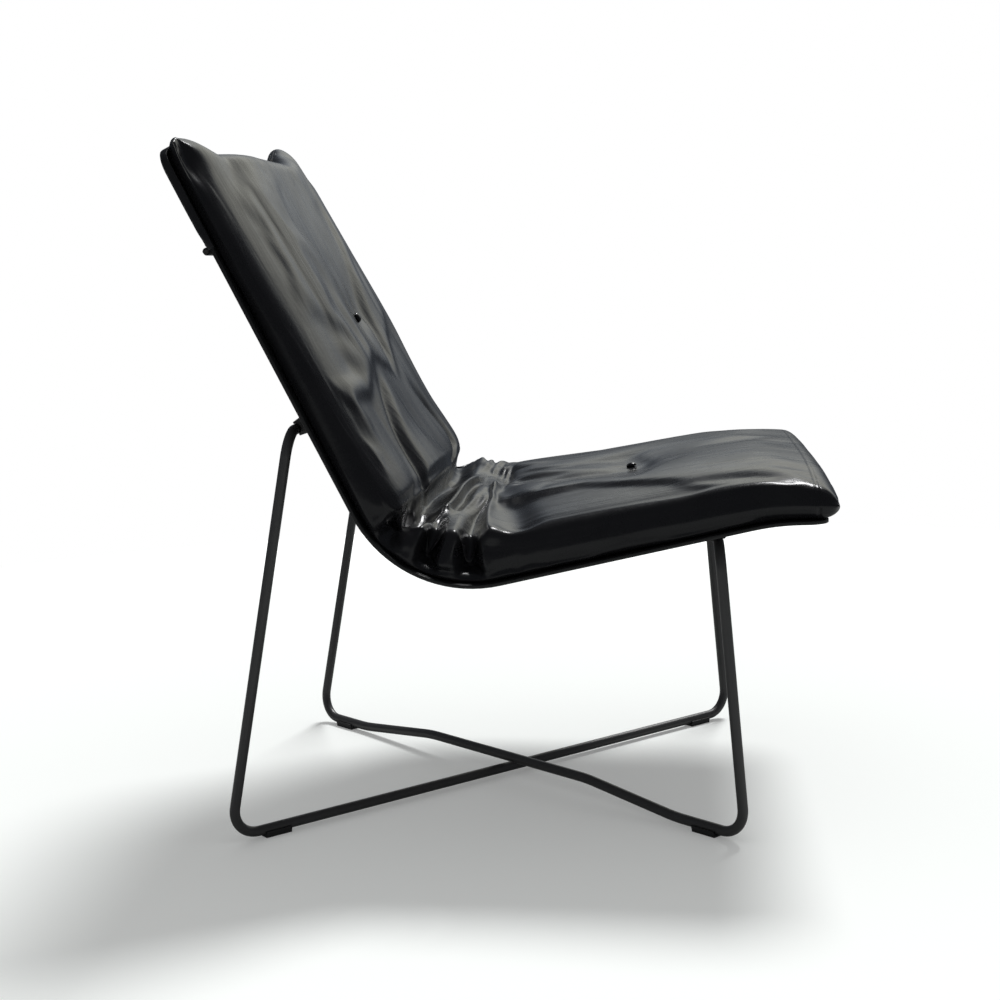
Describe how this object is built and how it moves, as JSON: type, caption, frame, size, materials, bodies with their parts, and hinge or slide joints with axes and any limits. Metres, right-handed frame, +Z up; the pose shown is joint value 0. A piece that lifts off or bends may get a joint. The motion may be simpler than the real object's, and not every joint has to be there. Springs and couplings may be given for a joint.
{
  "type": "lounge chair",
  "caption": "Low armless lounge chair: a tufted black leather pad slung over a thin bent shell by a hood, on a base of crossed bent steel rods.",
  "frame": {"origin": "on the floor, under the middle of the whole chair's bounding box", "axes": "+Z up, -Y the way the sitter faces, +X the sitter's left"},
  "size_m": [0.6158, 0.7248, 0.8235],
  "materials": {
    "rod": "satin black coating on steel",
    "shell": "satin black coating on sheet",
    "screw": "black oxide",
    "glide": "matt black nylon",
    "leather": "smooth semi-gloss black hide",
    "button": "glossy black covered button",
    "filling": "pale foam with wadding",
    "cord": "black woven cord and zip tape"
  },
  "bodies": {
    "frame": {"base_rod_lower": "rod", "base_rod_upper": "rod", "glide_rear_left": "glide", "glide_rear_right": "glide", "glide_front_left": "glide", "glide_front_right": "glide", "bracket_rear_left": "rod", "bracket_rear_right": "rod", "bracket_front_left": "rod", "bracket_front_right": "rod", "bracket_screw_rear_left_1": "screw", "bracket_screw_rear_left_2": "screw", "bracket_screw_rear_right_1": "screw", "bracket_screw_rear_right_2": "screw", "bracket_screw_front_left_1": "screw", "bracket_screw_front_left_2": "screw", "bracket_screw_front_right_1": "screw", "bracket_screw_front_right_2": "screw", "seat_shell": "shell"},
    "pad": {"pad_cover": "leather", "pad_core": "filling", "pad_zip": "cord", "pad_hood": "leather", "hood_hem_cord": "cord", "back_button": "button", "seat_button": "button", "back_button_cord": "cord", "seat_button_cord": "cord", "back_button_anchor": "glide", "seat_button_anchor": "glide"}
  },
  "joints": [
    {"name": "pad_lift", "type": "slide", "parent": "frame", "child": "pad", "axis": [0, 0.4321, 0.9018], "range_m": [0, 0.15]}
  ]
}
